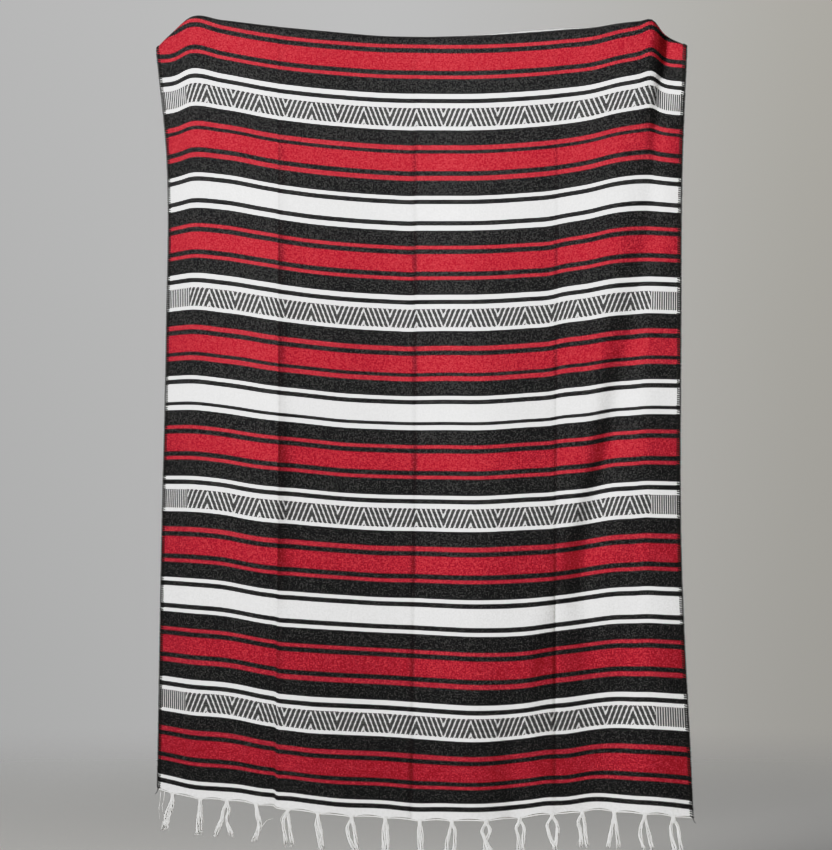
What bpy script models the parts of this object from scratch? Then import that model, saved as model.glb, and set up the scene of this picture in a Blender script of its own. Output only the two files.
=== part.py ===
"""A Mexican serape: one woven blanket, hung by two holds near its upper corners.

Metres, +Z up. The front faces -Y. The origin is the left hold, at the top of the fold.
The cloth is laid out by two distances on its flat cut: `across` from the left selvedge, and
`along` from the upper end, which is turned back over the fold and hangs behind.
"""
from collections import namedtuple
from math import cos, exp, pi, sin

import bmesh
import bpy
import numpy as np
from mathutils import Vector

for leftover in list(bpy.data.objects):
    bpy.data.objects.remove(leftover)
serape = bpy.data.collections.new("mexican_serape")
bpy.context.scene.collection.children.link(serape)

MM = 0.001

# The flat cut
WIDTH = 1.270
LENGTH = 1.850

# Thicknesses and gaps
CLOTH_THICKNESS = 0.0022
SELVEDGE_RADIUS = 0.0026  # the overcast edge is a round roll of thread
SELVEDGE_REACH = 0.0068  # from the flat cut's edge to where the open weave begins

# Tassels
TASSEL_COUNT = 17
TASSEL_LENGTH = 0.082
TASSEL_RADIUS = 0.0042
TASSEL_GAP = 0.0008
# How far each hand-tied tassel stands from its even place, in mm, from left to right
TASSEL_DRIFT = (5, 2, -8, -10, -9, -10, -4, 1, 8, 8, 15, 20, 21, 16, 13, 7, -7)

# How finely the surfaces are divided
COLUMNS = 42
COLUMN_WIDTH = (WIDTH - 2 * SELVEDGE_REACH) / COLUMNS
FLAP_ROWS = 4
ROLL_ROWS = 6
FRONT_ROWS = 34
ROWS = FLAP_ROWS + ROLL_ROWS + FRONT_ROWS

# Where, along the cloth, the five figures of each guide line stand: one red stripe each
STATIONS = (0.117, 0.351, 0.813, 1.275, 1.737)

# The guide lines run down the cloth. All in mm:
#   across    distance from the left selvedge
#   fold_row  the row of the cloth that lies on top of the fold
#   roll      radius of the fold there
#   x         how far the line stands right of the left hold, at the five stations
#   rise      how far the weft there stands above a straight, level hang
#   back      how far the cloth there lies behind the left hold
Guide = namedtuple("Guide", "name across fold_row roll x rise back")
GUIDES = (
    Guide("left selvedge", 0, 116, 12,
          (-74, -55, -54, -71, -73), (38, 42, 50, 52, 58), (42, 46, 74, 88, 86)),
    Guide("left hold", 88, 71, 9,
          (0, 5, 9, 2, -1), (58, 56, 53, 50, 46), (-9, 0, 24, 38, 40)),
    Guide("left shoulder", 164, 61, 11,
          (73, 76, 80, 74, 71), (42, 51, 47, 44, 44), (-18, -12, 6, 18, 20)),
    Guide("left crease", 298, 52, 14,
          (201, 201, 201, 201, 197), (21, 27, 27, 24, 16), (-30, -28, -24, -18, -12)),
    Guide("middle crease", 631, 51, 18,
          (515, 515, 515, 515, 515), (0, 2, 4, 7, -6), (-18, -12, -4, 0, 4)),
    Guide("belly", 784, 48, 20,
          (664, 664, 664, 664, 664), (-1, 2, 5, 4, -11), (-26, -28, -26, -24, -10)),
    Guide("right crease", 962, 46, 20,
          (837, 837, 837, 837, 837), (9, 15, 18, 12, 4), (-20, -14, -4, 2, 8)),
    Guide("right shoulder", 1108, 58, 14,
          (984, 980, 973, 975, 983), (34, 44, 40, 32, 15), (-14, -6, 3, 8, 12)),
    Guide("right hold", 1181, 70, 10,
          (1058, 1053, 1042, 1044, 1056), (53, 52, 44, 36, 12), (-9, 0, 8, 12, 14)),
    Guide("beyond the right hold", 1208, 78, 10,
          (1084, 1077, 1066, 1067, 1083), (33, 46, 44, 35, 10), (10, 8, 14, 18, 20)),
    Guide("right selvedge", 1270, 97, 10,
          (1137, 1127, 1122, 1118, 1145), (22, 40, 43, 33, 4), (24, 24, 28, 32, 36)),
)
LEFT_HOLD = 0.088

# The largest soft folds, each a trough (depth over 0, away from the viewer) or a ridge (under 0)
# along a straight line on the cloth. All in mm.
Fold = namedtuple("Fold", "name across_from along_from across_to along_to width depth_from depth_to")
FOLDS = (
    Fold("from the right hold", 1222, 180, 1022, 1400, 52, 8, 15),
    Fold("beside the left crease", 268, 1300, 262, 1850, 40, 0, 8),
    Fold("at the lower middle", 820, 1500, 810, 1850, 60, 0, 12),
)
FOLD_FADE = 0.18  # how far past its ends a fold dies away

FLAP_LEAN = 0.08  # how far the flap swings out behind, for each metre that it hangs down


def smooth_through(places, values, place):
    """Read a smooth curve through the values, with the slope of its neighbours at each."""
    places = np.asarray(places, float)
    values = np.asarray(values, float)
    slopes = np.gradient(values, places)
    span = int(np.clip(np.searchsorted(places, place) - 1, 0, len(places) - 2))
    step = places[span + 1] - places[span]
    share = (place - places[span]) / step
    if not 0 <= share <= 1:
        near = span if share < 0 else span + 1
        return float(values[near] + slopes[near] * (place - places[near]))
    start = (1 + 2 * share) * (1 - share) ** 2 * values[span]
    end = share ** 2 * (3 - 2 * share) * values[span + 1]
    leave = share * (1 - share) ** 2 * step * slopes[span]
    arrive = share ** 2 * (share - 1) * step * slopes[span + 1]
    return float(start + end + leave + arrive)


ACROSS = [guide.across * MM for guide in GUIDES]


def guide_value(name, across):
    """A figure that each guide line has once, such as its roll."""
    return smooth_through(ACROSS, [getattr(guide, name) * MM for guide in GUIDES], across)


def station_value(name, across, along):
    """A figure that each guide line has at every station, such as its rise."""
    held = max(along, STATIONS[0])
    down = [smooth_through(STATIONS, getattr(guide, name), held) * MM for guide in GUIDES]
    return smooth_through(ACROSS, down, across)


def fold_depth(across, along):
    """How far the soft folds push the cloth back."""
    total = 0.0
    for fold in FOLDS:
        start = Vector((fold.across_from, fold.along_from)) * MM
        run = Vector((fold.across_to, fold.along_to)) * MM - start
        place = Vector((across, along)) - start
        share = place.dot(run) / run.length_squared
        inside = min(max(share, 0.0), 1.0)
        past = (share - inside) * run.length / FOLD_FADE
        aside = (place - run * share).length / (fold.width * MM)
        depth = (fold.depth_from + (fold.depth_to - fold.depth_from) * inside) * MM
        total += depth * exp(-aside ** 2 - past ** 2)
    return total


def hanging_point(across, along):
    """A point of the front, below the fold."""
    x = station_value("x", across, along)
    y = station_value("back", across, along) + fold_depth(across, along)
    z = station_value("rise", across, along) - along
    return Vector((x, y, z))


def cloth_point(across, along):
    """A point on the middle of the cloth: the front, the roll of the fold, or the flap behind."""
    radius = guide_value("roll", across)
    quarter = radius * pi / 2
    past_top = along - guide_value("fold_row", across)
    if past_top >= quarter:
        return hanging_point(across, along)
    leaving = hanging_point(across, along - past_top + quarter)
    axis = leaving + Vector((0, radius, 0))
    if past_top > -quarter:
        turn = past_top / radius
        return axis + Vector((0, -radius * sin(turn), radius * cos(turn)))
    drop = -quarter - past_top
    return axis + Vector((0, radius + FLAP_LEAN * drop, -drop))


def top_of_fold(across):
    return cloth_point(across, guide_value("fold_row", across))


HOLD = top_of_fold(LEFT_HOLD)


def row_to_along(across, row):
    """Rows are spaced evenly in the flap, round the roll and down the front."""
    radius = guide_value("roll", across)
    top = guide_value("fold_row", across)
    ends = (0, FLAP_ROWS, FLAP_ROWS + ROLL_ROWS, ROWS)
    places = (0, top - radius * pi / 2, top + radius * pi / 2, LENGTH)
    return float(np.interp(row, ends, places))


def material(name, colour, roughness):
    made = bpy.data.materials.new(name)
    made.use_nodes = True
    shader = made.node_tree.nodes["Principled BSDF"]
    shader.inputs["Base Color"].default_value = (*colour, 1)
    shader.inputs["Roughness"].default_value = roughness
    shader.inputs["Metallic"].default_value = 0
    return made


def add_object(name, data, colour):
    added = bpy.data.objects.new(name, data)
    serape.objects.link(added)
    data.materials.append(colour)
    return added


def woven_wall(name, thickness, colour):
    """The cloth between its two overcast edges, from end to end."""
    shaping = bmesh.new()
    bmesh.ops.create_grid(shaping, x_segments=COLUMNS, y_segments=ROWS, size=0.5)
    for vertex in shaping.verts:
        across = SELVEDGE_REACH + COLUMN_WIDTH * COLUMNS * (vertex.co.x + 0.5)
        along = row_to_along(across, (vertex.co.y + 0.5) * ROWS)
        vertex.co = cloth_point(across, along) - HOLD
    mesh = bpy.data.meshes.new(name)
    shaping.to_mesh(mesh)
    shaping.free()
    mesh.shade_smooth()
    wall = add_object(name, mesh, colour)
    solid = wall.modifiers.new("wall", "SOLIDIFY")
    solid.thickness = thickness
    solid.offset = 0
    solid.use_even_offset = True


def thread_tube(name, route, radius, colour):
    """A round bundle of thread along a route of points."""
    curve = bpy.data.curves.new(name, "CURVE")
    curve.dimensions = "3D"
    curve.bevel_depth = radius
    curve.bevel_resolution = 1
    curve.use_fill_caps = True
    spline = curve.splines.new("POLY")
    spline.points.add(len(route) - 1)
    for point, place in zip(spline.points, route):
        point.co = (*place, 1)
    add_object(name, curve, colour)


def selvedge_route(across):
    """Down an edge of the serape, row by row as the cloth is divided."""
    return [cloth_point(across, row_to_along(across, row)) - HOLD for row in range(ROWS + 1)]


def tassel_route(across, end, inwards):
    """Straight on from the warp at an end of the cloth, clear of its sloping edge."""
    column = (across - SELVEDGE_REACH) // COLUMN_WIDTH
    left = SELVEDGE_REACH + column * COLUMN_WIDTH
    from_left = cloth_point(left, end)
    edge = cloth_point(left + COLUMN_WIDTH, end) - from_left
    start = from_left + edge * (across - left) / COLUMN_WIDTH - HOLD
    leaving = (cloth_point(across, end) - cloth_point(across, end + inwards)).normalized()
    slope = abs(edge.dot(leaving)) / (edge - leaving * edge.dot(leaving)).length
    gap = TASSEL_GAP + TASSEL_RADIUS * slope
    return [start + leaving * gap, start + leaving * TASSEL_LENGTH]


red_wool = material("striped_weave", (0.42, 0.02, 0.04), 0.9)
black_thread = material("overcast_thread", (0.02, 0.02, 0.02), 0.85)
white_yarn = material("tassel_yarn", (0.80, 0.80, 0.78), 0.9)

woven_wall("cloth", CLOTH_THICKNESS, red_wool)
thread_tube("selvedge_left", selvedge_route(SELVEDGE_RADIUS), SELVEDGE_RADIUS, black_thread)
thread_tube("selvedge_right", selvedge_route(WIDTH - SELVEDGE_RADIUS), SELVEDGE_RADIUS, black_thread)

for number, drift in enumerate(TASSEL_DRIFT):
    across = (number + 0.5) * WIDTH / TASSEL_COUNT + drift * MM
    lower = tassel_route(across, LENGTH, -MM)
    upper = tassel_route(across, 0, MM)
    thread_tube(f"tassel_lower_{number + 1:02d}", lower, TASSEL_RADIUS, white_yarn)
    thread_tube(f"tassel_upper_{number + 1:02d}", upper, TASSEL_RADIUS, white_yarn)
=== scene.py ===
"""The looks of a hanging Mexican serape: striped weave, overcast edges and a fringe of warp ends.

Metres, +Z up. The front faces -Y, and the origin is the left hold, on top of the fold. Every
piece takes its place from two distances on the flat cut of the cloth: `across`, from the left
selvedge, and `along`, from the upper end, which is turned back over the fold and hangs behind.
"""
from collections import namedtuple
from math import pi, radians, tau

import bpy
import numpy as np
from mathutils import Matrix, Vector


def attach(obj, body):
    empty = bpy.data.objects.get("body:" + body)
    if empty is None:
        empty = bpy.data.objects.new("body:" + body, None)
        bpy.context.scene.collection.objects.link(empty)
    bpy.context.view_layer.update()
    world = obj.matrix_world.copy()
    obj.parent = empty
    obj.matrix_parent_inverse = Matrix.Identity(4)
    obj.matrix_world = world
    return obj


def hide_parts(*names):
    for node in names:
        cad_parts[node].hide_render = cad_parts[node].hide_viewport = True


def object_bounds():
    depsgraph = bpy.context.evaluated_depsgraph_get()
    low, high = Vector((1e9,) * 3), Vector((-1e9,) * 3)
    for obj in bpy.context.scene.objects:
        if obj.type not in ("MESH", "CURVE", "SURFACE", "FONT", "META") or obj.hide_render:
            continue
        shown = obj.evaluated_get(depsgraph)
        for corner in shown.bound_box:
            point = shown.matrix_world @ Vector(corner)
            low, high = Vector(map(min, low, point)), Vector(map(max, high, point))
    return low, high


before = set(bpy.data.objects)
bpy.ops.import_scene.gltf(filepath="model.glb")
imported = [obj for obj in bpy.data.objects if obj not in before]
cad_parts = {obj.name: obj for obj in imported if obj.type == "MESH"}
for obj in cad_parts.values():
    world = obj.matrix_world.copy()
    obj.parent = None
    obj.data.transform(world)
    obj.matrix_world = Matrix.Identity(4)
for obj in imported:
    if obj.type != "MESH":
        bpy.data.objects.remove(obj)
cad_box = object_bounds()
bpy.ops.object.select_all(action="DESELECT")

MM = 0.001

# The flat cut
WIDTH = 1.270
LENGTH = 1.850
CLOTH_THICKNESS = 0.0022
EDGE = 0.0012  # the woven edge stands this far inside its overcast thread

# The weave
FIGURE_UNIT = WIDTH / 10  # from one peak of the figured band to the next
WARP = FIGURE_UNIT / 44  # one column of the weave
WEFT = 0.0027  # one pick

# The stripes repeat down the cloth, and each repeat is the same both ways from its middle, but
# for the pinstripe over its figured band. All from the repeat's start.
REPEAT = 0.462
FIRST_REPEAT = 0.077
MIRROR = 0.157
RED_FROM_MIRROR = 0.11675
RED_HALF = 0.0203
RED_PIN = (0.0308, 0.0400)
WHITE_HALF = 0.0195
WHITE_PIN = (0.0300, 0.0389)
FIGURE_EDGES = ((0.1155, 0.1262), (0.1369, 0.146), (0.189, 0.1983))
FIGURE = (0.146, 0.189)
FIGURE_LINE = 4 * WARP  # one dark line of the figure and the light one beside it
FIGURE_DARK = 0.68  # the dark line's share of that
FIGURE_SHIMMER = 0.16  # how much of the dark shows between the upright lines
FIGURE_BREAK = 0.15  # how much white shows through a line at every second pick
FIGURE_PALE = 0.77  # how white its light lines are
FIGURE_LEAN = 0.41  # how far a line leans for each metre down
FIGURE_SIDE = 0.6 * FIGURE_UNIT  # at each side the figure is plain upright lines

# The colours of the yarn, each from its shaded fibres to its lit ones, and the flecks on the
# charcoal, the red and the white
CHARCOAL = ((0.019, 0.019, 0.020, 1), (0.062, 0.062, 0.060, 1))
CRIMSON = ((0.30, 0.022, 0.034, 1), (0.51, 0.064, 0.078, 1))
PIN_CRIMSON = ((0.31, 0.027, 0.040, 1), (0.52, 0.071, 0.086, 1))
CREAM = ((0.68, 0.68, 0.675, 1), (0.86, 0.86, 0.86, 1))
FLECKS = ((0.11, 0.11, 0.10, 1), (0.50, 0.09, 0.11, 1), (0.68, 0.68, 0.67, 1))
FLECK_FROM = 0.85  # the ovals with a shade above this have a fleck
# The near-black that the painted shade of the gaps and the presses darkens towards
PAINTED_SHADE_COLOUR = (0.015, 0.01, 0.011, 1)
GAP_SHADE = 0.14  # how dark the painted shade in the gaps between the ovals is
PRESSED_WHITE = 0.55  # how much less the painted shade of a press darkens the white picks
TUFTS = 0.8  # tufts of pile for each oval, each way
GRAIN_SCALE = 330
GRAIN_MIDDLE = 0.885  # taken off the sum of the shades, to bring it between 0 and 1
GRAIN_CURVE = 1.8  # over 1, so that the lit fibres are few
WEAVE_RELIEF = 0.0007  # how high the ovals stand, and the plies of a yarn
PLY_RELIEF = 0.0003

# The guide lines run down the cloth. All in mm:
#   across    distance from the left selvedge
#   fold_row  the row of the cloth that lies on top of the fold
#   roll      radius of the fold there
#   x         how far the line stands right of the left hold, at the five stations
#   rise      how far the weft there stands above a straight, level hang
#   back      how far the cloth there lies behind the left hold
STATIONS = (0.117, 0.351, 0.813, 1.275, 1.737)
Guide = namedtuple("Guide", "name across fold_row roll x rise back")
GUIDES = (
    Guide("left selvedge", 0, 116, 12,
          (-79, -55, -56, -67, -75), (38, 42, 50, 52, 58), (42, 46, 74, 88, 86)),
    Guide("left corner", 45, 84, 11,
          (-40, -25, -23, -31, -38), (40, 47, 52, 51, 52), (16, 22, 48, 62, 62)),
    Guide("left hold", 88, 71, 9,
          (0, 5, 9, 2, -1), (58, 56, 53, 50, 46), (-9, 0, 24, 38, 40)),
    Guide("left shoulder", 164, 61, 11,
          (73, 76, 80, 74, 71), (42, 51, 47, 44, 44), (-18, -12, 6, 18, 20)),
    Guide("left crease", 298, 52, 14,
          (201, 201, 201, 201, 197), (21, 27, 27, 24, 16), (-30, -28, -24, -18, -12)),
    Guide("middle crease", 631, 51, 18,
          (515, 515, 515, 515, 515), (0, 2, 4, 7, -6), (-18, -12, -4, 0, 4)),
    Guide("belly", 784, 48, 20,
          (664, 664, 664, 664, 664), (-1, 2, 5, 4, -11), (-26, -28, -26, -24, -10)),
    Guide("right crease", 962, 46, 20,
          (837, 837, 837, 837, 837), (9, 15, 18, 12, 4), (-20, -14, -4, 2, 8)),
    Guide("right shoulder", 1108, 58, 14,
          (984, 980, 973, 975, 983), (34, 44, 40, 32, 15), (-14, -6, 3, 8, 12)),
    Guide("before the right hold", 1154, 63, 11,
          (1030, 1026, 1018, 1019, 1029), (43, 50, 42, 34, 13), (-11, -3, 6, 11, 13)),
    Guide("right hold", 1181, 70, 10,
          (1058, 1053, 1042, 1045, 1056), (53, 52, 44, 36, 12), (-9, 0, 8, 12, 14)),
    Guide("beyond the right hold", 1208, 78, 10,
          (1084, 1077, 1067, 1070, 1085), (33, 46, 44, 35, 10), (10, 8, 14, 18, 20)),
    Guide("right selvedge", 1270, 97, 10,
          (1137, 1128, 1124, 1125, 1148), (22, 40, 43, 33, 4), (24, 24, 28, 32, 36)),
)
LEFT_HOLD = 0.088
FLAP_LEAN = 0.08  # how far the flap swings out behind, for each metre that it hangs down
FLAP_TUCK = 0.25  # how far its two sides draw in, for each metre

# The creases run down the cloth too, each through eight places, one on each wide red stripe. All
# but the power in mm:
#   left, right  how wide the crease is on either side of its line
#   power        2 is a soft hollow, 1 a sharp press
#   across       distance from the left selvedge
#   depth        a trough, away from the viewer, is over 0, and a ridge under 0
RED_STRIPES = (0.117, 0.351, 0.579, 0.813, 1.041, 1.275, 1.503, 1.737)
Crease = namedtuple("Crease", "name left right power across depth")
CREASES = (
    Crease("left press, its bank", 200, 30, 1.1,
           (301, 301, 301, 301, 301, 300, 298, 298), (-1, -4, -9, -12, -20, -18, -5, 0)),
    Crease("hollow right of the left press", 34, 110, 1.6,
           (340, 340, 340, 340, 340, 340, 340, 340), (0, 0, 3, 4, 8, 7, 0, 0)),
    Crease("left press, its line", 4, 5, 1.2,
           (302, 302, 303, 303, 303, 302, 299, 298), (1.8, 1.8, 1.8, 1.8, 1.8, 1.8, 1.2, 1)),
    Crease("left press, folded over", 26, 50, 1.3,
           (296, 296, 296, 296, 296, 296, 296, 296), (0, 0, 0, 0, 0, 0, 6, 10)),
    Crease("middle press", 22, 5, 1.3,
           (632, 632, 632, 632, 632, 630, 627, 623), (1.8, 2.2, 2.8, 3, 3, 3, 2.8, 2.6)),
    Crease("under the right hold", 9, 26, 1.6,
           (1214, 1190, 1180, 1180, 1180, 1180, 1180, 1180), (15, 5, 1, 0, 0, 0, 0, 0)),
    Crease("right press", 44, 70, 1.2,
           (962, 962, 962, 962, 962, 962, 962, 962), (0.4, 1, 2, 3, 4, 6, 8, 5)),
    Crease("right press, its line", 4, 5, 1.2,
           (965, 965, 965, 964, 963, 962, 962, 962), (0.4, 0.4, 0.6, 1.8, 2.4, 2.6, 5.4, 1)),
    Crease("trough from the right hold", 32, 38, 2,
           (1232, 1190, 1178, 1140, 1092, 1036, 1036, 1040), (5, 7, 10, 13, 16, 18, 7, 2)),
    Crease("ridge beside it", 60, 24, 2,
           (1150, 1120, 1110, 1078, 1036, 968, 900, 900), (0, -2, -3, -5, -6, -6, -6, -3)),
    Crease("lower right hollow", 105, 60, 2,
           (1100, 1100, 1100, 1100, 1100, 1100, 1100, 1085), (0, 0, 0, 0, 0, 4, 25, 24)),
    Crease("lower middle trough", 44, 44, 2,
           (845, 845, 845, 845, 845, 845, 845, 862), (0, 0, 0, 0, 0, 0, 3, 14)),
    Crease("below the left hold", 34, 28, 2,
           (196, 204, 212, 216, 216, 216, 216, 216), (-2, -2.5, -1.5, -1, 0, 0, 0, 0)),
)

# How far, in mm, each weft sags below the even hang of the guide lines, at the eight red stripes
# and at the lower end
SAG_ROWS = RED_STRIPES + (1.816,)
Sag = namedtuple("Sag", "across below")
SAGS = (
    Sag(0, (0, 2, 3, 1, 0, 0, 2, 0, -2)),
    Sag(88, (0, 0, 2, 0, 0, 0, 2, 0, -1)),
    Sag(164, (-1, 1, 4, 2, 1, 0, 3, 3, 3)),
    Sag(220, (0, 1, 4, 1, 2, 2, 2, 0, -3)),
    Sag(282, (1, 1, 2, 1, 0, 1, 2, -2, -8)),
    Sag(316, (1, 0, 2, 0, -2, -2, 1, -5, -13)),
    Sag(380, (1, 0, 3, 0, -2, -2, 0, -3, -12)),
    Sag(450, (1, 0, 3, 1, 0, -1, 0, -3, -9)),
    Sag(560, (2, 1, 3, 1, 0, 2, 2, -2, -8)),
    Sag(631, (1, 1, 3, 1, 0, 1, 4, 1, -4)),
    Sag(700, (1, 0, 2, -1, -1, 1, 5, 1, -8)),
    Sag(784, (1, 1, 3, 1, 0, 1, 7, 1, -9)),
    Sag(900, (0, 0, 4, 1, -2, 0, 8, 0, -7)),
    Sag(948, (0.5, 0.5, 5.5, 1.5, -1, 0.5, 4, -1, -8)),
    Sag(975, (1, 1, 3, -1, -1, 1, 4, 2, -5)),
    Sag(1050, (5, 4, 6, 3, 4, 2, 5, -1, -7)),
    Sag(1108, (1, 1, 4, 2, 1, 1, 4, 0, -2)),
    Sag(1181, (0, 0, 4, 0, 0, 1, 4, 0, -2)),
    Sag(1270, (0, 0, 4, 0, 0, 1, 4, 0, 0)),
)

# At a press the wefts jog: they stand higher on its left than on its right, by this much in mm
Jog = namedtuple("Jog", "name across step drop")
JOGS = (
    Jog("left press", 297, 4, (0.5, 1, 1, 1, 1, 2, 3.6, 6)),
    Jog("middle press", 630, 4, (0, -1, -1.6, -0.5, 0, 0, 0, 0)),
    Jog("right press", 961, 5, (0, 0, 0, 0, -1, -1, -1, -1)),
)
JOG_REACH = 0.05  # how far from the press the wefts are back in line

# The cloth was stored folded in quarters, and shade is painted into its colour along the presses: a
# dark line at each, reaching further on the side that turns away from the light. In metres:
#   lean         how far the press drifts to the left for each metre of the lower half
#   left, right  how far its shade reaches on either side
#   shade, fade  how dark its painted shade is, and how much of that it loses for each metre of the
#   lower half
Press = namedtuple("Press", "across lean left right shade fade")
PRESSES = (
    Press(0.3020, 0.007, 0.004, 0.020, 0.42, 0.4),
    Press(0.6330, 0.0135, 0.013, 0.007, 0.44, 0),
    Press(0.9645, 0.005, 0.010, 0.005, 0.28, 0),
)
LOWER_HALF = 1.0  # where the lower half starts
PRESSED_FROM = 0.05  # where the painted shade of a press starts, and its growth for each metre down
PRESSED_RISE = 2.4

HALF_PRESS_DEPTH = 0.0012  # the cloth was stored folded in half: a press across its middle
HALF_PRESS_WIDTH = 0.006

# The hand-woven cloth is nowhere quite flat
SLOW_WAVE = 0.0011
QUICK_WAVE = 0.0004

# The back of the fold stands a little higher than its front, between these two distances across
PEEK = (0.66, 1.16)
PEEK_HEIGHT = 0.0068

# The fringe
TASSEL_COUNT = 17
TASSEL_LENGTH = 0.082
LOWER_SEED = 50  # the lower tassels' random draws start here, and the upper ones' at 0
# How far, in mm, each tassel stands right of its even place
TASSEL_DRIFT = (5, 2, -8, -10, -9, -10, -4, 1, 8, 8, 15, 20, 21, 16, 13, 7, -7)
# Each tassel has two legs. Where each leg hangs, in mm right of the tassel's root, a quarter, a
# half and all of the way down
Tassel = namedtuple("Tassel", "left right")
TASSELS = (
    Tassel((-3, -12, -20), (1, -5, -15)),
    Tassel((-2, -4, -6), (2, 2, -1)),
    Tassel((-8, -12, -24), (5, 0, 9)),
    Tassel((1, 6, -5), (4, 9, 0)),
    Tassel((-9, -8, -3), (3, 6, 10)),
    Tassel((-4, 0, 6), (3, 7, 9)),
    Tassel((-10, -7, 7), (5, 8, 12)),
    Tassel((-4, -4, -3), (4, 5, 3)),
    Tassel((-3, -2, 1), (4, 5, 4)),
    Tassel((-4, -10, -12), (8, 7, 5)),
    Tassel((-10, -2, 12), (8, -1, -3)),
    Tassel((-8, -3, -3), (10, 8, 6)),
    Tassel((-11, -6, 6), (12, 12, 7)),
    Tassel((-10, -5, -4), (4, 6, 9)),
    Tassel((-4, -8, -15), (3, 5, 8)),
    Tassel((-8, -12, -6), (4, 8, 14)),
    Tassel((-6, -5, 1), (10, 12, 17)),
)
LEG_STATIONS = (-0.05, 0.0, 0.28, 0.56, 0.95)
LEG_SPREAD = 3  # mm from the root, where a leg leaves the weave
STRANDS = 6
STRAND_RADIUS = 0.00125
LEG_RADIUS = 0.0034
FIBRES = 4
FIBRE_RADIUS = 0.00028
FIBRE_FROM = 13  # the step of its strand at which the first fibre comes away
FIBRE_STEPS = 6
STRAND_STEPS = 18
STRAND_TAPER = ((0, 0.1, 0.85, 1), (0.9, 1, 1, 0.55))  # share of the way down, share of the radius
CRIMP = 0.0004

# Single threads that have come away: the tassel they hang by, and their route in mm from its
# root, each point as right of it, above it and behind it
Stray = namedtuple("Stray", "tassel route")
STRAYS = (
    Stray(1, ((-27, 4, 0), (-29, -14, -2), (-31, -34, -1), (-29, -60, -3))),
    Stray(1, ((-19, 4, 0), (-20, -12, 1), (-24, -30, 2), (-22, -50, 0))),
    Stray(4, ((6, -52, -2), (12, -50, -3), (22, -38, -3), (38, -30, -2))),
    Stray(5, ((-3, -4, 0), (-10, -10, -2), (-16, -22, -2), (-13, -34, -3))),
)
STRAY_STEPS = 16
STRAY_RADII = (0.0007, 0.0003)

# The ends of the weave are pulled down at each tassel and arch between them
END_BAND = 0.021
END_PULL = 0.0018
END_ARCH = 0.0066
LOOSE_WEFT_ARCH = 0.0026
LOOSE_WEFT_RADIUS = 0.0010
LOOSE_WEFT_STEPS = 420

# The overcast edges: one thread wound round and round the selvedge
WRAP_PITCH = 0.0047
WRAP_CENTRE = 0.0033  # in from the cut's edge
WRAP_HALF_WIDTH = 0.0046
WRAP_HALF_HEIGHT = 0.0021
WRAP_RADIUS = 0.0014
WRAP_DRIFT = 0.0007  # how far a turn may lie from its place along the edge
WRAP_UNEVEN = 0.0005  # and how much wider or narrower it may be
WRAP_STEPS = 10
EDGE_CORD_RADIUS = 0.0011
EDGE_CORD_STEPS = 320
EDGE_TAIL_STEPS = 14
EDGE_TAIL_RADII = (0.0008, 0.0004)


def read_through(places, table, at):
    """Smooth curves through the rows of a table, read at each place, and straight past its ends."""
    places = np.asarray(places, float)
    table = np.asarray(table, float).reshape(len(places), -1)
    slopes = np.gradient(table, places, axis=0)
    span = np.clip(np.searchsorted(places, at) - 1, 0, len(places) - 2)
    step = places[span + 1] - places[span]
    share = (at - places[span]) / step
    inside = np.clip(share, 0, 1)
    near = np.where(share < 0, span, span + 1)
    start = ((1 + 2 * inside) * (1 - inside) ** 2)[:, None]
    leave = (inside * (1 - inside) ** 2 * step)[:, None]
    arrive = (inside ** 2 * (inside - 1) * step)[:, None]
    past = ((share - inside) * step)[:, None]
    value = start * table[span] + (1 - start) * table[span + 1]
    return value + leave * slopes[span] + arrive * slopes[span + 1] + past * slopes[near]


def guide_value(name, across):
    """A figure that each guide line has once, such as its roll."""
    figures = [getattr(guide, name) * MM for guide in GUIDES]
    return read_through([guide.across * MM for guide in GUIDES], figures, across)[:, 0]


def station_value(name, across, along):
    """A figure that each guide line has at every station, such as its rise."""
    table = np.array([getattr(guide, name) for guide in GUIDES]) * MM
    held = np.maximum(along, STATIONS[0])
    down = read_through(STATIONS, np.eye(len(STATIONS)), held)
    sideways = read_through([guide.across * MM for guide in GUIDES], np.eye(len(GUIDES)), across)
    return np.einsum("pg,gs,ps->p", sideways, table, down)


def stripe_value(figures, along):
    """Figures given in mm at the eight red stripes, read at each place along the cloth."""
    held = np.clip(along, RED_STRIPES[0], LENGTH)
    return read_through(RED_STRIPES, figures, held)[:, 0] * MM


def crease_depth(across, along):
    """How far the creases push the cloth back."""
    total = np.zeros_like(across)
    for crease in CREASES:
        aside = across - stripe_value(crease.across, along)
        width = np.where(aside < 0, crease.left, crease.right) * MM
        profile = np.exp(-(np.abs(aside) / width) ** crease.power)
        total += stripe_value(crease.depth, along) * profile
    half_press = np.exp(-np.abs(along - LENGTH / 2) / HALF_PRESS_WIDTH)
    return total + HALF_PRESS_DEPTH * half_press


def jog_rise(across, along):
    """How far the wefts stand above or below their line beside a press."""
    total = np.zeros_like(across)
    for jog in JOGS:
        aside = across - jog.across * MM
        fade = np.exp(-(aside / JOG_REACH) ** 2)
        total -= stripe_value(jog.drop, along) / 2 * np.tanh(aside / (jog.step * MM)) * fade
    return total


def sag_below(across, along):
    """How far the wefts sag below the even hang."""
    table = np.array([sag.below for sag in SAGS]) * MM
    held = np.clip(along, SAG_ROWS[0], SAG_ROWS[-1])
    down = read_through(SAG_ROWS, np.eye(len(SAG_ROWS)), held)
    sideways = read_through([sag.across * MM for sag in SAGS], np.eye(len(SAGS)), across)
    return np.einsum("pg,gs,ps->p", sideways, table, down)


def unevenness(across, along):
    """The slight waviness of a hand-woven cloth."""
    slow = np.sin(across * 41 + 2.1 * np.sin(along * 3.3)) * np.sin(along * 2.9 + 0.7 + across * 3)
    quick = np.sin(across * 97 + along * 6.1 + 1.3 * np.sin(along * 11)) * np.sin(along * 9.7 + 2)
    return SLOW_WAVE * slow + QUICK_WAVE * quick


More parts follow.
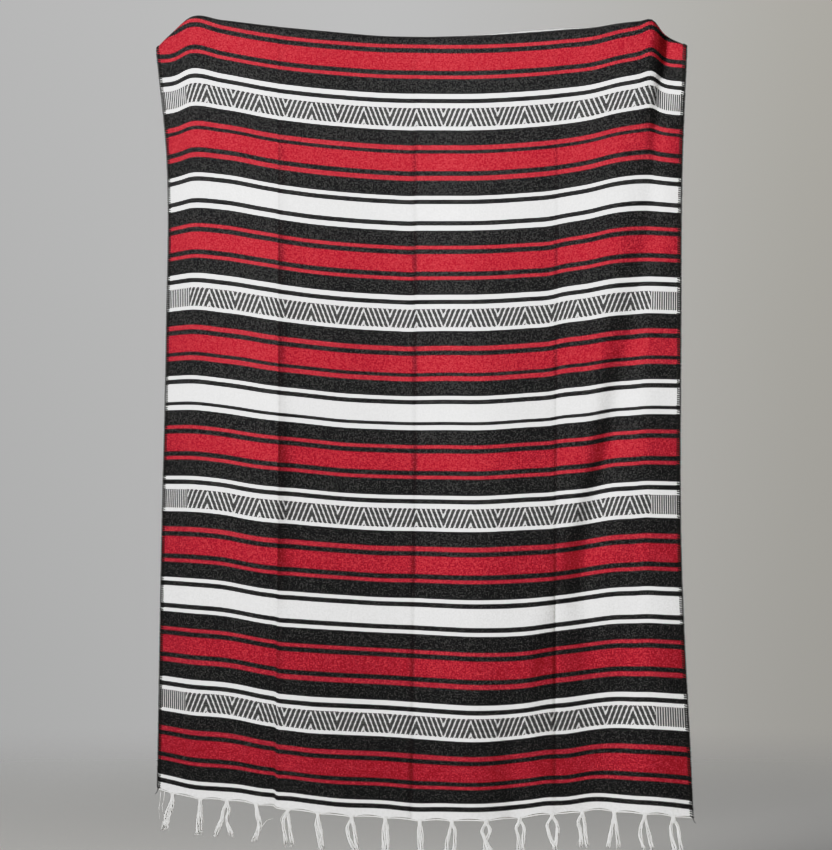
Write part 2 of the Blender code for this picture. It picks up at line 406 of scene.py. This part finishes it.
def end_line(across):
    """How far past the cut's end the weave reaches, and how far a loose weft does."""
    roots = np.array([-tassel_across(0)] + [tassel_across(n) for n in range(TASSEL_COUNT)]
                     + [2 * WIDTH - tassel_across(TASSEL_COUNT - 1)])
    span = np.clip(np.searchsorted(roots, across) - 1, 0, len(roots) - 2)
    share = (across - roots[span]) / (roots[span + 1] - roots[span])
    arch = 4 * share * (1 - share)
    return END_PULL - END_ARCH * arch, END_PULL - LOOSE_WEFT_ARCH * arch


def tassel_across(number):
    return (number + 0.5) * WIDTH / TASSEL_COUNT + TASSEL_DRIFT[number] * MM


def cloth_at(across, along):
    """Points on the middle of the cloth: the front, the roll of the fold, or the flap behind."""
    across, along = (np.array(a, float).ravel() for a in np.broadcast_arrays(across, along))
    radius = guide_value("roll", across)
    top = guide_value("fold_row", across)
    quarter = radius * pi / 2
    past_top = along - top
    hang = top + np.maximum(past_top, quarter)
    turn = np.clip(past_top / radius, -pi / 2, pi / 2)
    drop = np.maximum(-quarter - past_top, 0)
    inside_peek = np.clip((across - PEEK[0]) / (PEEK[1] - PEEK[0]), 0, 1)
    peek = PEEK_HEIGHT * np.sin(pi * inside_peek) ** 0.6 * np.exp(-((turn + 0.5) / 0.35) ** 2)
    x = station_value("x", across, hang) + FLAP_TUCK * drop * (1 - 2 * across / WIDTH)
    y = station_value("back", across, hang) + crease_depth(across, hang) + unevenness(across, hang)
    z = station_value("rise", across, hang) + jog_rise(across, hang) - hang
    z -= sag_below(across, hang)
    y += radius * (1 - np.sin(turn)) + FLAP_LEAN * drop
    z += radius * np.cos(turn) - drop + peek
    return np.stack([x, y, z], axis=1)


def plain_top_of_fold(across):
    """The top of the fold with no creases, which is where the origin stands."""
    place = np.array([across])
    radius = guide_value("roll", place)
    hang = guide_value("fold_row", place) + radius * pi / 2
    y = station_value("back", place, hang) + radius
    z = station_value("rise", place, hang) - hang + radius
    return np.array([station_value("x", place, hang)[0], y[0], z[0]])


HOLD = plain_top_of_fold(LEFT_HOLD)


def placed(across, along):
    return cloth_at(across, along) - HOLD


def unit(vectors):
    return vectors / np.linalg.norm(vectors, axis=-1, keepdims=True)


# ---------------------------------------------------------------- shader sums


class Shade:
    """A shader socket for use in sums: an operator adds the Math node that works it out."""

    def __init__(self, tree, socket):
        self.tree = tree
        self.socket = socket

    def node(self, kind, settings, inputs, output=0):
        """Add any other node: its settings first, then the values or links of its sockets."""
        made = self.tree.nodes.new(kind)
        for name, setting in settings.items():
            setattr(made, name, setting)
        for name, value in inputs.items():
            if isinstance(value, Shade):
                self.tree.links.new(value.socket, made.inputs[name])
            else:
                made.inputs[name].default_value = value
        return Shade(self.tree, made.outputs[output])

    def math(self, operation, *values):
        return self.node("ShaderNodeMath", {"operation": operation}, dict(enumerate(values)))

    def __add__(self, other):
        return self.math("ADD", self, other)

    def __sub__(self, other):
        return self.math("SUBTRACT", self, other)

    def __rsub__(self, other):
        return self.math("SUBTRACT", other, self)

    def __mul__(self, other):
        return self.math("MULTIPLY", self, other)

    def __truediv__(self, other):
        return self.math("DIVIDE", self, other)

    def __mod__(self, other):
        return self.math("FLOORED_MODULO", self, other)

    def __pow__(self, other):
        return self.math("POWER", self, other)

    def __lt__(self, other):
        return self.math("LESS_THAN", self, other)

    def __gt__(self, other):
        return self.math("GREATER_THAN", self, other)

    def __abs__(self):
        return self.math("ABSOLUTE", self)

    __radd__ = __add__
    __rmul__ = __mul__

    def floor(self):
        return self.math("FLOOR", self)

    def sine(self):
        return self.math("SINE", self)

    def at_most(self, high):
        return self.math("MINIMUM", self, high)

    def held(self, low, high):
        """This value, kept from going below the one or above the other."""
        return self.math("MAXIMUM", self, low).at_most(high)

    def between(self, low, high):
        """1 where the value is between the two, or else 0."""
        return (self > low) * (self < high)

    def blend(self, low, high):
        """The low colour where this value is 0, the high one where it is 1."""
        return self.node("ShaderNodeMix", {"data_type": "RGBA"}, {0: self, 6: low, 7: high}, 2)

    def scattered(self, second):
        """A random value for each pair of whole numbers."""
        pair = self.joined(second)
        return self.node("ShaderNodeTexWhiteNoise", {"noise_dimensions": "2D"}, {"Vector": pair})

    def joined(self, second):
        """A vector of two values."""
        return self.node("ShaderNodeCombineXYZ", {}, {0: self, 1: second, 2: 0.0})

    def noise(self, scale, detail):
        """Smooth noise about 0.5, with this value as its place."""
        inputs = {"Vector": self, "Scale": scale, "Detail": detail}
        return self.node("ShaderNodeTexNoise", {}, inputs)


def new_material(name, uv_map):
    """A plain fabric, with its shader and the two distances that its own map gives."""
    made = bpy.data.materials.new(name)
    made.use_nodes = True
    tree = made.node_tree
    shader = tree.nodes["Principled BSDF"]
    shader.inputs["Roughness"].default_value = 0.92
    shader.inputs["Specular IOR Level"].default_value = 0.1
    shader.inputs["Sheen Weight"].default_value = 0.03
    shader.inputs["Sheen Roughness"].default_value = 0.4
    start = Shade(tree, None)
    place = start.node("ShaderNodeUVMap", {"uv_map": uv_map}, {})
    first = place.node("ShaderNodeSeparateXYZ", {}, {0: place}, 0)
    second = place.node("ShaderNodeSeparateXYZ", {}, {0: place}, 1)
    return made, shader, first, second


def finish_material(shader, colour, height, distance):
    """Feed the shader its colour, and its normal from the height of the yarn."""
    bump = height.node("ShaderNodeBump", {},
                       {"Strength": 0.8, "Distance": distance, "Height": height})
    height.tree.links.new(colour.socket, shader.inputs["Base Color"])
    height.tree.links.new(bump.socket, shader.inputs["Normal"])


def striped_weave():
    """Red, charcoal and white picks over a hidden warp, with a charted figure in some bands."""
    made, shader, across, along = new_material("striped weave", "cut")

    # Each pick is a row of ovals, and the next column's ovals stand half a pick higher
    column = (across / WARP).floor()
    odd = column % 2
    picks = along / WEFT + odd * 0.5
    row = picks.floor()
    woven = (row + 0.5 - odd) * WEFT
    in_column = across / WARP - column
    in_pick = picks - row

    # The plain stripes
    repeated = (woven + (REPEAT - FIRST_REPEAT)) % REPEAT
    from_mirror = abs((repeated + (1.5 * REPEAT - MIRROR)) % REPEAT - REPEAT / 2)
    from_red = abs(from_mirror - RED_FROM_MIRROR)
    from_white = REPEAT / 2 - from_mirror
    red_pin = from_red.between(*RED_PIN)
    red = (from_red < RED_HALF) + red_pin
    white = (from_white < WHITE_HALF) + from_white.between(*WHITE_PIN)
    for low, high in FIGURE_EDGES:
        white = white + repeated.between(low, high)

    # The figured band: leaning lines that meet in peaks, and upright ones at the sides
    figure_row = ((repeated - FIGURE[0]) / WEFT).floor()
    lean = (figure_row + 0.5) * (WEFT * FIGURE_LEAN)
    place = (column + 0.5) * (WARP * 0.5) + across * 0.5
    from_peak = abs((place / FIGURE_UNIT + 0.5) % 1 - 0.5) * FIGURE_UNIT
    leaning = ((from_peak - lean) / FIGURE_LINE) % 1 < FIGURE_DARK
    at_side = (place < FIGURE_SIDE) + (place > WIDTH - FIGURE_SIDE)
    upright = odd * (1 - FIGURE_SHIMMER) + FIGURE_SHIMMER
    dark_line = leaning * (1 - at_side) + upright * at_side
    dark_line = dark_line * (1 - row % 2 * FIGURE_BREAK)
    white = white + repeated.between(*FIGURE) * (1 - dark_line) * FIGURE_PALE

    # Every oval of yarn has its own shade, the pile is grainy, and streaks run along the wefts
    shade = column.scattered(row)
    streaks = (across * 3).joined(along * 190).noise(1.0, 3.0)
    mottle = across.joined(along).noise(5.0, 3.0)
    fibres = (across * 500).joined(along * 2200).noise(1.0, 3.0)
    tufts = (across * (TUFTS / WARP)).floor().scattered((along * (TUFTS / WEFT)).floor())
    grain = across.joined(along).noise(GRAIN_SCALE, 0.0)
    light = (grain * 1.5 + tufts * 0.55 + shade * 0.15 + streaks * 0.25 + mottle * 0.2
             - GRAIN_MIDDLE)
    tip = light.held(0, 1) ** GRAIN_CURVE
    charcoal = tip.blend(*CHARCOAL)
    crimson = tip.blend(*CRIMSON)
    pin_crimson = tip.blend(*PIN_CRIMSON)
    cream = light.blend(*CREAM)
    crimson = red_pin.blend(crimson, pin_crimson)
    colour = white.blend(red.blend(charcoal, crimson), cream)

    # A few of the ovals are paler, where the warp shows through
    speck = (shade > FLECK_FROM) * (in_pick * pi).sine()
    fleck = white.blend(red.blend(FLECKS[0], FLECKS[1]), FLECKS[2])
    colour = (speck * 0.3).blend(colour, fleck)

    # Shade is painted into the colour, in the gaps between the ovals and along the lines of the
    # presses
    rounded = (in_column * pi).sine() * (in_pick * pi).sine()
    painted_shade = (1 - rounded ** 0.35) * GAP_SHADE
    lower_half = along.math("MAXIMUM", along - LOWER_HALF, 0)
    painted_press_shade = ((along - PRESSED_FROM) * PRESSED_RISE).held(0.1, 1) * (1 - white * PRESSED_WHITE)
    # Each press adds a line of painted shade, wider on the side that turns away from the light
    for press in PRESSES:
        aside = across + lower_half * press.lean - press.across
        reach = (aside > 0) * (press.right - press.left) + press.left
        aside = abs(aside) / reach
        shaded = press.shade - lower_half * press.fade
        painted_shade = painted_shade + (1 - aside.at_most(1)) * painted_press_shade * shaded
    colour = painted_shade.blend(colour, PAINTED_SHADE_COLOUR)
    height = rounded ** 0.5 + fibres * 0.35
    finish_material(shader, colour, height, WEAVE_RELIEF)
    return made


def twisted_yarn(name, low, high, ply_length, ply_count, roughness):
    """Yarn of a few plies twisted together, with loose fibres."""
    made, shader, around, along = new_material(name, "yarn")
    shader.inputs["Roughness"].default_value = roughness
    ply = ((along / ply_length + around * ply_count) * pi).sine()
    fibres = (around * 7).joined(along * 900).noise(1.0, 3.0)
    patches = around.joined(along * 35).noise(1.0, 2.0)
    # The grooves between the plies are darker: painted shade, beside the random tone of the fibres
    # and patches
    light = abs(ply) * 0.45 + fibres * 0.5 + patches * 0.3 - 0.1
    colour = light.blend(low, high)
    finish_material(shader, colour, abs(ply) + fibres * 0.5, PLY_RELIEF)
    return made


# ---------------------------------------------------------------- meshes


def add_mesh(name, vertices, faces, uv_name, uvs, colour):
    """A piece from its points and faces, with a map of one pair for each corner."""
    mesh = bpy.data.meshes.new(name)
    mesh.from_pydata(vertices, [], faces)
    layer = mesh.uv_layers.new(name=uv_name)
    layer.uv.foreach_set("vector", np.asarray(uvs, np.float32).ravel())
    mesh.materials.append(colour)
    mesh.shade_smooth()
    piece = bpy.data.objects.new(name, mesh)
    bpy.context.scene.collection.objects.link(piece)
    return piece


def column_places():
    """Columns of points across the cloth, closer together beside the presses."""
    coarse, fine, reach = 0.0080, 0.0022, 0.022
    trial = np.linspace(EDGE, WIDTH - EDGE, 6000)
    beside = sum(np.exp(-((trial - press.across) / reach) ** 4) for press in PRESSES)
    density = 1 / coarse + (1 / fine - 1 / coarse) * beside
    count = np.concatenate([[0], np.cumsum((density[1:] + density[:-1]) / 2 * np.diff(trial))])
    return np.interp(np.linspace(0, count[-1], int(count[-1]) + 1), count, trial)


def row_places(across):
    """Rows of points along the cloth: the flap, round the roll, down the front, and its end."""
    flap_rows, roll_rows, front_rows, end_rows = 10, 14, 186, 6
    radius = guide_value("roll", across)
    top = guide_value("fold_row", across)
    reach = end_line(across)[0]
    ends = np.cumsum([0, flap_rows, roll_rows, front_rows, end_rows])
    rows = np.arange(ends[-1] + 1)
    below_roll = top + radius * pi / 2
    places = np.stack([-reach, top - radius * pi / 2, below_roll,
                       np.full_like(across, LENGTH - END_BAND), LENGTH + reach], axis=1)
    return np.stack([np.interp(rows, ends, line) for line in places])


def woven_cloth(colour):
    """The cloth, a thin wall from edge to edge and from end to end."""
    across = column_places()
    along = row_places(across)
    columns, rows = along.shape
    wide = np.repeat(across, rows)
    points = placed(wide, along.ravel())
    corner = np.arange(columns * rows).reshape(columns, rows)
    faces = np.stack([corner[:-1, :-1], corner[:-1, 1:], corner[1:, 1:], corner[1:, :-1]], axis=-1)
    faces = faces.reshape(-1, 4)
    flat = np.stack([wide, along.ravel()], axis=1)
    piece = add_mesh("striped_cloth", points, faces.tolist(), "cut", flat[faces.ravel()], colour)
    wall = piece.modifiers.new("wall", "SOLIDIFY")
    wall.thickness = CLOTH_THICKNESS
    wall.offset = 0
    wall.use_even_offset = True
    bpy.context.view_layer.objects.active = piece
    bpy.ops.object.modifier_apply(modifier=wall.name)
    piece.data.set_sharp_from_angle(angle=1.0)
    return piece


def tube(route, radii, sides):
    """Rings of points round a route, in a frame that doesn't twist, and how far along each is."""
    ahead = unit(np.gradient(route, axis=0))
    steps = np.linalg.norm(np.diff(route, axis=0), axis=1)
    length = np.concatenate([[0], np.cumsum(steps)])
    side = np.cross(ahead[0], (0.31, 0.83, 0.47))
    rings = []
    angles = np.arange(sides) * tau / sides
    for centre, forward, radius in zip(route, ahead, radii):
        side = side - forward * side.dot(forward)
        side = side / np.linalg.norm(side)
        upward = np.cross(forward, side)
        ring = np.outer(np.cos(angles), side) + np.outer(np.sin(angles), upward)
        rings.append(centre + ring * radius)
    return np.array(rings), length


def yarn_piece(name, yarns, colour):
    """One piece of many closed tubes, each a route, its radius at each point, and its sides."""
    vertices, faces, uvs = [], [], []
    for route, radii, sides in yarns:
        rings, length = tube(np.asarray(route), radii, sides)
        first = sum(len(block) for block in vertices)
        vertices.append(rings.reshape(-1, 3))
        for ring in range(len(rings) - 1):
            low, high = length[ring], length[ring + 1]
            for place in range(sides):
                beside = (place + 1) % sides
                here = first + ring * sides
                faces.append((here + place, here + beside,
                              here + sides + beside, here + sides + place))
                left, right = place / sides, (place + 1) / sides
                uvs.extend(((left, low), (right, low), (right, high), (left, high)))
        last = first + (len(rings) - 1) * sides
        faces.append(tuple(range(first + sides - 1, first - 1, -1)))
        faces.append(tuple(range(last, last + sides)))
        uvs.extend([(0.5, length[0])] * sides + [(0.5, length[-1])] * sides)
    return add_mesh(name, np.concatenate(vertices), faces, "yarn", uvs, colour)


def overcast_edge(name, across_edge, inwards, seed, colour):
    """The thread wound round one selvedge, over a cord that runs along its very edge."""
    turns = int(LENGTH / WRAP_PITCH)
    steps = np.arange(turns * WRAP_STEPS + 1)
    phase = steps * tau / WRAP_STEPS
    rng = np.random.default_rng(seed)
    bend = np.interp(steps / WRAP_STEPS, np.arange(turns + 2), rng.uniform(-1, 1, turns + 2))
    along = np.clip(steps / WRAP_STEPS * WRAP_PITCH + bend * WRAP_DRIFT, 0, LENGTH)
    across = across_edge + inwards * WRAP_CENTRE
    here = placed(across, along)
    outward = unit(here - placed(across + inwards * MM, along))
    down = unit(placed(across, along + MM / 2) - placed(across, along - MM / 2))
    facing = np.cross(outward, down)
    width = (WRAP_HALF_WIDTH + bend * WRAP_UNEVEN)[:, None]
    swing = np.sign(np.cos(phase)) * np.abs(np.cos(phase)) ** 0.8
    lift = np.sign(np.sin(phase)) * np.abs(np.sin(phase)) ** 0.6
    wound = here + outward * width * swing[:, None] + facing * WRAP_HALF_HEIGHT * lift[:, None]
    wrap = (wound, np.full(len(wound), WRAP_RADIUS), 6)
    edge_rows = np.linspace(0, LENGTH, EDGE_CORD_STEPS)
    edge = placed(across_edge + inwards * EDGE_CORD_RADIUS, edge_rows)
    cord = (edge, np.full(len(edge), EDGE_CORD_RADIUS), 8)
    corner = placed(across_edge, np.array([LENGTH]))[0]
    tail_points = np.array([(0, 0, 0), (-1 * inwards, -1, -4), (-3 * inwards, -2, -8),
                            (-6 * inwards, -2, -11)]) * MM
    tail = corner + read_through((0, 1, 2, 3), tail_points, np.linspace(0, 3, EDGE_TAIL_STEPS))
    loose_end = (tail, np.linspace(*EDGE_TAIL_RADII, EDGE_TAIL_STEPS), 5)
    return yarn_piece(name, [wrap, cord, loose_end], colour)


def loose_weft(name, end, outwards, colour):
    """The last pick of an end, which hangs free in a shallow arch between the tassels."""
    across = np.linspace(2 * EDGE, WIDTH - 2 * EDGE, LOOSE_WEFT_STEPS)
    loose_reach = end_line(across)[1]
    route = placed(across, end + outwards * loose_reach)
    route[:, 1] += 0.0004 * np.sin(across * 260)
    return yarn_piece(name, [(route, np.full(len(across), LOOSE_WEFT_RADIUS), 6)], colour)


def leg_strands(root, down, offsets, spread, rng):
    """The strands of one leg of a tassel, each ending in a few loose fibres."""
    sideways = np.array((1.0, 0, 0))
    backward = np.array((0, 1.0, 0))
    sway = rng.uniform(-3, 3, 3)
    yarns = []
    path = np.array([(spread, 0), (spread * 0.4, 0), (offsets[0], sway[0]),
                     (offsets[1], sway[1]), (offsets[2], sway[2])]) * MM
    for strand in range(STRANDS):
        reach = TASSEL_LENGTH * rng.uniform(0.90, 1.03)
        share = np.linspace(LEG_STATIONS[0], 1, STRAND_STEPS)
        middle = read_through(LEG_STATIONS, path, share)
        angle = tau * strand / STRANDS + share * rng.uniform(3, 5)
        bundle = LEG_RADIUS * (0.8 + 0.4 * np.clip(share, 0, 1) ** 2)
        crimp = CRIMP * np.sin(share * 60 + rng.uniform(0, tau))
        across = middle[:, 0] + bundle * np.cos(angle) + crimp
        behind = middle[:, 1] + bundle * np.sin(angle) * 0.7
        route = root + np.outer(share * reach, down)
        route += np.outer(across, sideways) + np.outer(behind, backward)
        radii = STRAND_RADIUS * np.interp(share, *STRAND_TAPER)
        yarns.append((route, radii, 5))
        for fibre in range(FIBRES):
            start = route[FIBRE_FROM + fibre]
            way = (route[-1] - start) * rng.uniform(0.9, 1.25)
            bow = sideways * rng.normal(0, 0.0026) + backward * rng.normal(0, 0.0014)
            steps = np.linspace(0, 1, FIBRE_STEPS)
            curl = start + np.outer(steps, way) + np.outer(steps ** 1.6, bow)
            yarns.append((curl, np.linspace(FIBRE_RADIUS, FIBRE_RADIUS / 2, FIBRE_STEPS), 3))
    return yarns


def tassel(name, number, legs, end, outwards, colour):
    """The warp ends gathered at one root: two legs of loose strands."""
    rng = np.random.default_rng(number + (LOWER_SEED if end else 0))
    across = np.array([tassel_across(number)])
    root = placed(across, end + outwards * END_PULL)[0]
    down = unit(root - placed(across, end - outwards * MM)[0])
    yarns = leg_strands(root, down, legs.left, -LEG_SPREAD, rng)
    yarns += leg_strands(root, down, legs.right, LEG_SPREAD, rng)
    for stray in STRAYS:
        if end and stray.tassel == number + 1:
            points = np.array([(x, y, z) for x, z, y in stray.route]) * MM
            steps = np.linspace(0, len(points) - 1, STRAY_STEPS)
            line = read_through(range(len(points)), points, steps)
            yarns.append((root + line, np.linspace(*STRAY_RADII, STRAY_STEPS), 5))
    return yarn_piece(name, yarns, colour)


# ---------------------------------------------------------------- the pieces

weave = striped_weave()
black_thread = twisted_yarn("overcast thread", (0.006, 0.006, 0.006, 1), (0.045, 0.045, 0.043, 1),
                            0.0022, 2, 0.8)
white_yarn = twisted_yarn("fringe yarn", (0.50, 0.50, 0.49, 1), (0.88, 0.88, 0.87, 1),
                          0.0034, 2, 0.9)

cloth = woven_cloth(weave)
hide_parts("cloth")

trimmings = []
for name, node, edge, inwards in (("overcast_left", "selvedge_left", 0, 1),
                                  ("overcast_right", "selvedge_right", WIDTH, -1)):
    wound = overcast_edge(name, edge, inwards, len(trimmings) + 3, black_thread)
    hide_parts(node)
    trimmings.append(wound)

for where, end, outwards in (("lower", LENGTH, 1), ("upper", 0, -1)):
    weft = loose_weft(f"loose_weft_{where}", end, outwards, white_yarn)
    trimmings.append(weft)
    for number in range(TASSEL_COUNT):
        legs = TASSELS[number if where == "lower" else TASSEL_COUNT - 1 - number]
        hung = tassel(f"fringe_{where}_{number + 1:02d}", number, legs, end, outwards, white_yarn)
        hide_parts(f"tassel_{where}_{number + 1:02d}")
        trimmings.append(hung)

for piece in [cloth] + trimmings:
    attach(piece, "root")


# ---------------------------------------------------------------- the studio

WALL_LEVEL = 0.334  # how light the wall is straight behind the cloth
WALL_REACH = 0.06  # further aside than this, as the sine of the angle, it changes no more
WALL_BESIDE = 0.47  # how fast it darkens to either side, and to the right, and lightens upwards
WALL_RIGHTWARD = 0.50
WALL_UPWARD = 0.29
WALL_RIGHT_TINT = (1.02, 1.0, 0.95, 1)
FLOOR_BELOW = 0.17
FLOOR_GLOW = 0.13
FLOOR_GLOW_SLOPE = 0.022  # how much of that it loses for each metre to the right
FLOOR_GLOW_REACH = 1.2  # and how far to each side of the middle
ROOM_LIGHT = 0.5  # the room's light on the cloth, beside how light its wall looks
LIGHT_AIM = (1.1, -0.3)  # where the lights point, x and z
TONES = ((0, 0), (0.012, 0.004), (0.0264, 0.013), (0.04, 0.0319), (0.14, 0.153), (0.2376, 0.283),
         (0.36, 0.533), (0.53, 0.716), (0.80, 0.84), (1, 0.90))  # light in, light out
VIEW_CENTRE = (0.5175, -0.932)  # x and z
VIEW_HEIGHT = 1.9465
LENS = 300
SENSOR = 36


def studio_floor():
    """A pale floor well below the fringe, which fades into the wall far from the cloth."""
    near, far = 4.0, 11.5
    centre = (VIEW_CENTRE[0], 0, cad_box[0][2] - FLOOR_BELOW)
    bpy.ops.mesh.primitive_circle_add(vertices=64, radius=far, fill_type="NGON", location=centre)
    floor = bpy.context.object
    floor.name = "studio_floor"
    made = bpy.data.materials.new("pale floor")
    made.use_nodes = True
    tree = made.node_tree
    shader = tree.nodes["Principled BSDF"]
    shader.inputs["Base Color"].default_value = (0.60, 0.595, 0.58, 1)
    shader.inputs["Emission Strength"].default_value = 1
    shader.inputs["Roughness"].default_value = 0.95
    shader.inputs["Specular IOR Level"].default_value = 0.1
    start = Shade(tree, None)
    place = start.node("ShaderNodeTexCoord", {}, {}, "Object")
    away = place.node("ShaderNodeVectorMath", {"operation": "LENGTH"}, {0: place}, "Value")
    sideways = place.node("ShaderNodeSeparateXYZ", {}, {0: place}, 0)
    glow = FLOOR_GLOW - sideways.held(-FLOOR_GLOW_REACH, FLOOR_GLOW_REACH) * FLOOR_GLOW_SLOPE
    solid = away.node("ShaderNodeMapRange", {"interpolation_type": "SMOOTHSTEP"},
                      {0: away, 1: near, 2: far, 3: 1.0, 4: 0.0})
    tree.links.new(solid.socket, shader.inputs["Alpha"])
    tree.links.new(glow.socket, shader.inputs["Emission Color"])
    floor.data.materials.append(made)


def studio_world():
    """A grey room, a little lighter behind the cloth than beside it, and darkest on the right."""
    world = bpy.data.worlds.new("studio")
    world.use_nodes = True
    bpy.context.scene.world = world
    background = world.node_tree.nodes["Background"]
    start = Shade(world.node_tree, None)
    way = start.node("ShaderNodeTexCoord", {}, {})
    sideways = way.node("ShaderNodeSeparateXYZ", {}, {0: way}, 0)
    height = way.node("ShaderNodeSeparateXYZ", {}, {0: way}, 2)
    beside = abs(sideways + 0.006).at_most(WALL_REACH)
    rightward = sideways.held(0, WALL_REACH)
    upward = height.held(-WALL_REACH, WALL_REACH)
    level = (WALL_LEVEL - beside * WALL_BESIDE - rightward * WALL_RIGHTWARD
             + upward * WALL_UPWARD)
    colour = (rightward * 16).blend((1, 1, 1, 1), WALL_RIGHT_TINT)
    tone = level.node("ShaderNodeVectorMath", {"operation": "SCALE"}, {0: colour, "Scale": level})
    world.node_tree.links.new(tone.socket, background.inputs["Color"])
    # The wall looks lighter than the room's own light on the cloth
    seen = start.node("ShaderNodeLightPath", {}, {}, "Is Camera Ray")
    strength = seen * (1 - ROOM_LIGHT) + ROOM_LIGHT
    world.node_tree.links.new(strength.socket, background.inputs["Strength"])


def soft_light(name, place, size, power, spread):
    """A square softbox turned to the upper right of the cloth."""
    lamp = bpy.data.lights.new(name, "AREA")
    lamp.size = size
    lamp.energy = power
    lamp.spread = spread
    holder = bpy.data.objects.new(name, lamp)
    bpy.context.scene.collection.objects.link(holder)
    holder.location = place
    aim = np.array((LIGHT_AIM[0], 0, LIGHT_AIM[1])) - np.array(place)
    holder.rotation_euler = Vector(aim).to_track_quat("-Z", "Y").to_euler()
    holder.visible_camera = False


def studio_camera():
    lens = bpy.data.cameras.new("view")
    lens.lens = LENS
    lens.sensor_width = SENSOR
    lens.clip_end = 100
    camera = bpy.data.objects.new("view", lens)
    bpy.context.scene.collection.objects.link(camera)
    camera.location = (VIEW_CENTRE[0], -VIEW_HEIGHT * LENS / SENSOR, VIEW_CENTRE[1])
    camera.rotation_euler = (pi / 2, 0, 0)
    bpy.context.scene.camera = camera


def studio_tones():
    """A tone curve that is gentle in the whites and a little deeper in the darks."""
    view = bpy.context.scene.view_settings
    view.view_transform = "Standard"
    view.use_curve_mapping = True
    whole = view.curve_mapping.curves[3]
    whole.points[-1].location = TONES[-1]
    for tone in TONES[1:-1]:
        whole.points.new(*tone)
    view.curve_mapping.update()


studio_floor()
studio_world()
soft_light("key", place=(-2.05, -4.56, 0.9), size=0.9, power=45.5, spread=radians(68))
soft_light("fill", place=(3.5, -4.5, 0.5), size=2.5, power=22, spread=pi)
soft_light("back", place=(2.6, 4.4, 0.9), size=1.6, power=34, spread=radians(80))
studio_camera()
studio_tones()
